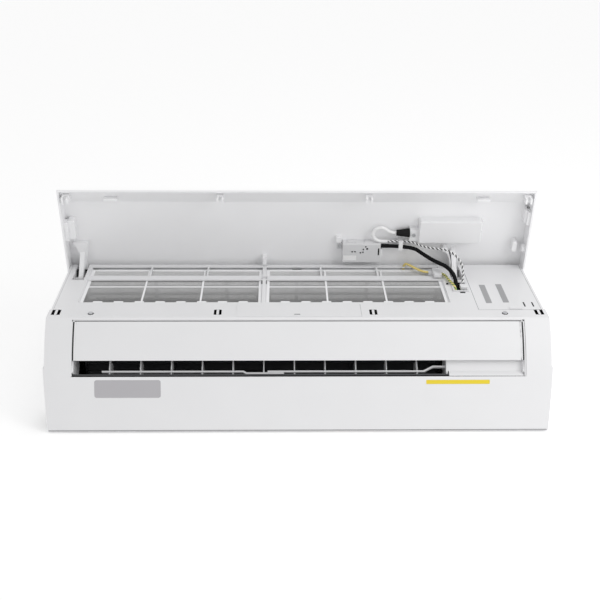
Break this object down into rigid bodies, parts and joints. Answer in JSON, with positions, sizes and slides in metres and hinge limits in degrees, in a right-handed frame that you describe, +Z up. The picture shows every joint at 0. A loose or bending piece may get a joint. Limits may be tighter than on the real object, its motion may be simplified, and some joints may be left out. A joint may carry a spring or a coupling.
{
  "type": "mini split indoor unit",
  "caption": "Wall-mounted indoor unit of a split air conditioner: hinged front panel, slide-in filters, coil, cross-flow fan, outlet flap and linked vanes.",
  "frame": {"origin": "middle of the wall plate's four screw holes, on the wall plane", "axes": "+X to the right seen from the room, +Y into the wall, +Z up as installed"},
  "size_m": [0.805, 0.315, 0.3015],
  "materials": {
    "casing_white": "fine satin moulded plastic",
    "panel_white": "gloss front, satin back",
    "inner_white": "plain moulded plastic",
    "chassis_grey": "plain moulded plastic",
    "filter_white": "moulded plastic",
    "filter_net": "fine woven net",
    "fins_aluminium": "bare fins",
    "copper": "bare copper tube",
    "brass": "turned",
    "zinc_steel": "zinc plated sheet",
    "motor_shell": "pressed steel",
    "fan_grey": "filled plastic",
    "rubber_black": "matt",
    "board_green": "coated board",
    "terminal_black": "moulded",
    "display_grey": "moulded grey plastic",
    "module_white": "satin",
    "sleeve_black": "soft tubing",
    "lead_white": "soft jacket",
    "lead_twisted": "twisted pair",
    "lead_yellow": "soft jacket"
  },
  "bodies": {
    "casing": {"rear_chassis": "chassis_grey", "front_frame": "casing_white", "wiring_cover": "casing_white", "drain_pan": "inner_white", "wall_plate": "zinc_steel", "frame_screws": "zinc_steel", "coil_front_lower": "fins_aluminium", "coil_front_upper": "fins_aluminium", "coil_rear": "fins_aluminium", "coil_end_plates": "zinc_steel", "coil_hairpins": "copper", "fan_motor": "motor_shell", "motor_clamp": "chassis_grey", "fan_bearing": "rubber_black", "control_box": "inner_white", "main_board": "board_green", "terminal_block": "terminal_black", "flap_motor": "motor_shell", "vane_motor": "motor_shell", "gas_pipe": "copper", "liquid_pipe": "copper", "pipe_clamp": "terminal_black", "gas_union": "brass", "liquid_union": "brass", "harness_sleeve": "sleeve_black", "twisted_wire": "lead_twisted", "earth_wire": "lead_yellow", "earth_wire_clip": "inner_white", "cable_guide": "inner_white"},
    "panel": {"front_panel": "panel_white", "display_box": "display_grey", "display_box_screw": "zinc_steel", "module_box": "module_white", "module_box_screw": "zinc_steel", "module_plug": "rubber_black", "module_lead": "lead_white", "lead_tie": "inner_white"},
    "flap": {"flap": "casing_white"},
    "fan": {"fan_wheel": "fan_grey"},
    "vane_link": {"link_rod_left": "inner_white", "link_rod_right": "inner_white"},
    "crank": {"vane_crank": "inner_white"},
    "filter_left": {"filter_left_frame": "filter_white", "filter_left_mesh": "filter_net"},
    "filter_right": {"filter_right_frame": "filter_white", "filter_right_mesh": "filter_net"},
    "vane_01_body": {"vane_01": "inner_white"},
    "vane_02_body": {"vane_02": "inner_white"},
    "vane_03_body": {"vane_03": "inner_white"},
    "vane_04_body": {"vane_04": "inner_white"},
    "vane_05_body": {"vane_05": "inner_white"},
    "vane_06_body": {"vane_06": "inner_white"},
    "vane_07_body": {"vane_07": "inner_white"},
    "vane_08_body": {"vane_08": "inner_white"},
    "vane_09_body": {"vane_09": "inner_white"},
    "vane_10_body": {"vane_10": "inner_white"},
    "vane_11_body": {"vane_11": "inner_white"}
  },
  "joints": [
    {"name": "panel_hinge", "type": "hinge", "parent": "casing", "child": "panel", "pos_m": [0, -0.149, 0.083], "axis": [1, 0, 0], "range_deg": [0, 82], "deforming": ["harness_sleeve", "twisted_wire"]},
    {"name": "flap_hinge", "type": "hinge", "parent": "casing", "child": "flap", "pos_m": [0, -0.14644, -0.09361], "axis": [-1, 0, 0], "range_deg": [0, 85]},
    {"name": "fan_spin", "type": "hinge", "parent": "casing", "child": "fan", "pos_m": [0, -0.072, -0.042], "axis": [1, 0, 0], "continuous": true},
    {"name": "filter_left_slide", "type": "slide", "parent": "casing", "child": "filter_left", "axis": [0, 0, 1], "range_m": [0, 0.008]},
    {"name": "filter_right_slide", "type": "slide", "parent": "casing", "child": "filter_right", "axis": [0, 0, 1], "range_m": [0, 0.008]},
    {"name": "vane_01_swing", "type": "hinge", "parent": "casing", "child": "vane_01_body", "pos_m": [-0.3, -0.07003, -0.12246], "axis": [0, -0.6018, 0.7986], "range_deg": [-35, 35]},
    {"name": "vane_02_swing", "type": "hinge", "parent": "casing", "child": "vane_02_body", "pos_m": [-0.2512, -0.07003, -0.12246], "axis": [0, -0.6018, 0.7986], "range_deg": [-35, 35]},
    {"name": "vane_03_swing", "type": "hinge", "parent": "casing", "child": "vane_03_body", "pos_m": [-0.2024, -0.07003, -0.12246], "axis": [0, -0.6018, 0.7986], "range_deg": [-35, 35]},
    {"name": "vane_04_swing", "type": "hinge", "parent": "casing", "child": "vane_04_body", "pos_m": [-0.1536, -0.07003, -0.12246], "axis": [0, -0.6018, 0.7986], "range_deg": [-35, 35]},
    {"name": "vane_05_swing", "type": "hinge", "parent": "casing", "child": "vane_05_body", "pos_m": [-0.1048, -0.07003, -0.12246], "axis": [0, -0.6018, 0.7986], "range_deg": [-35, 35]},
    {"name": "vane_06_swing", "type": "hinge", "parent": "casing", "child": "vane_06_body", "pos_m": [-0.056, -0.07003, -0.12246], "axis": [0, -0.6018, 0.7986], "range_deg": [-35, 35]},
    {"name": "vane_07_swing", "type": "hinge", "parent": "casing", "child": "vane_07_body", "pos_m": [-0.0072, -0.07003, -0.12246], "axis": [0, -0.6018, 0.7986], "range_deg": [-35, 35]},
    {"name": "vane_08_swing", "type": "hinge", "parent": "casing", "child": "vane_08_body", "pos_m": [0.0416, -0.07003, -0.12246], "axis": [0, -0.6018, 0.7986], "range_deg": [-35, 35]},
    {"name": "vane_09_swing", "type": "hinge", "parent": "casing", "child": "vane_09_body", "pos_m": [0.0904, -0.07003, -0.12246], "axis": [0, -0.6018, 0.7986], "range_deg": [-35, 35]},
    {"name": "vane_10_swing", "type": "hinge", "parent": "casing", "child": "vane_10_body", "pos_m": [0.1392, -0.07003, -0.12246], "axis": [0, -0.6018, 0.7986], "range_deg": [-35, 35]},
    {"name": "vane_11_swing", "type": "hinge", "parent": "casing", "child": "vane_11_body", "pos_m": [0.188, -0.07003, -0.12246], "axis": [0, -0.6018, 0.7986], "range_deg": [-35, 35]},
    {"name": "crank_turn", "type": "hinge", "parent": "casing", "child": "crank", "pos_m": [0.254, -0.07003, -0.12246], "axis": [0, -0.6018, 0.7986], "range_deg": [-35, 35]},
    {"name": "link_pivot", "type": "hinge", "parent": "vane_01_body", "child": "vane_link", "pos_m": [-0.3, -0.08121, -0.13089], "axis": [0, -0.6018, 0.7986], "range_deg": [-35, 35]}
  ],
  "couplings": [
    {"joint": "vane_02_swing", "follows": "vane_01_swing", "ratio": 1},
    {"joint": "vane_03_swing", "follows": "vane_01_swing", "ratio": 1},
    {"joint": "vane_04_swing", "follows": "vane_01_swing", "ratio": 1},
    {"joint": "vane_05_swing", "follows": "vane_01_swing", "ratio": 1},
    {"joint": "vane_06_swing", "follows": "vane_01_swing", "ratio": 1},
    {"joint": "vane_07_swing", "follows": "vane_01_swing", "ratio": 1},
    {"joint": "vane_08_swing", "follows": "vane_01_swing", "ratio": 1},
    {"joint": "vane_09_swing", "follows": "vane_01_swing", "ratio": 1},
    {"joint": "vane_10_swing", "follows": "vane_01_swing", "ratio": 1},
    {"joint": "vane_11_swing", "follows": "vane_01_swing", "ratio": 1},
    {"joint": "crank_turn", "follows": "vane_01_swing", "ratio": 1},
    {"joint": "link_pivot", "follows": "vane_01_swing", "ratio": -1}
  ]
}
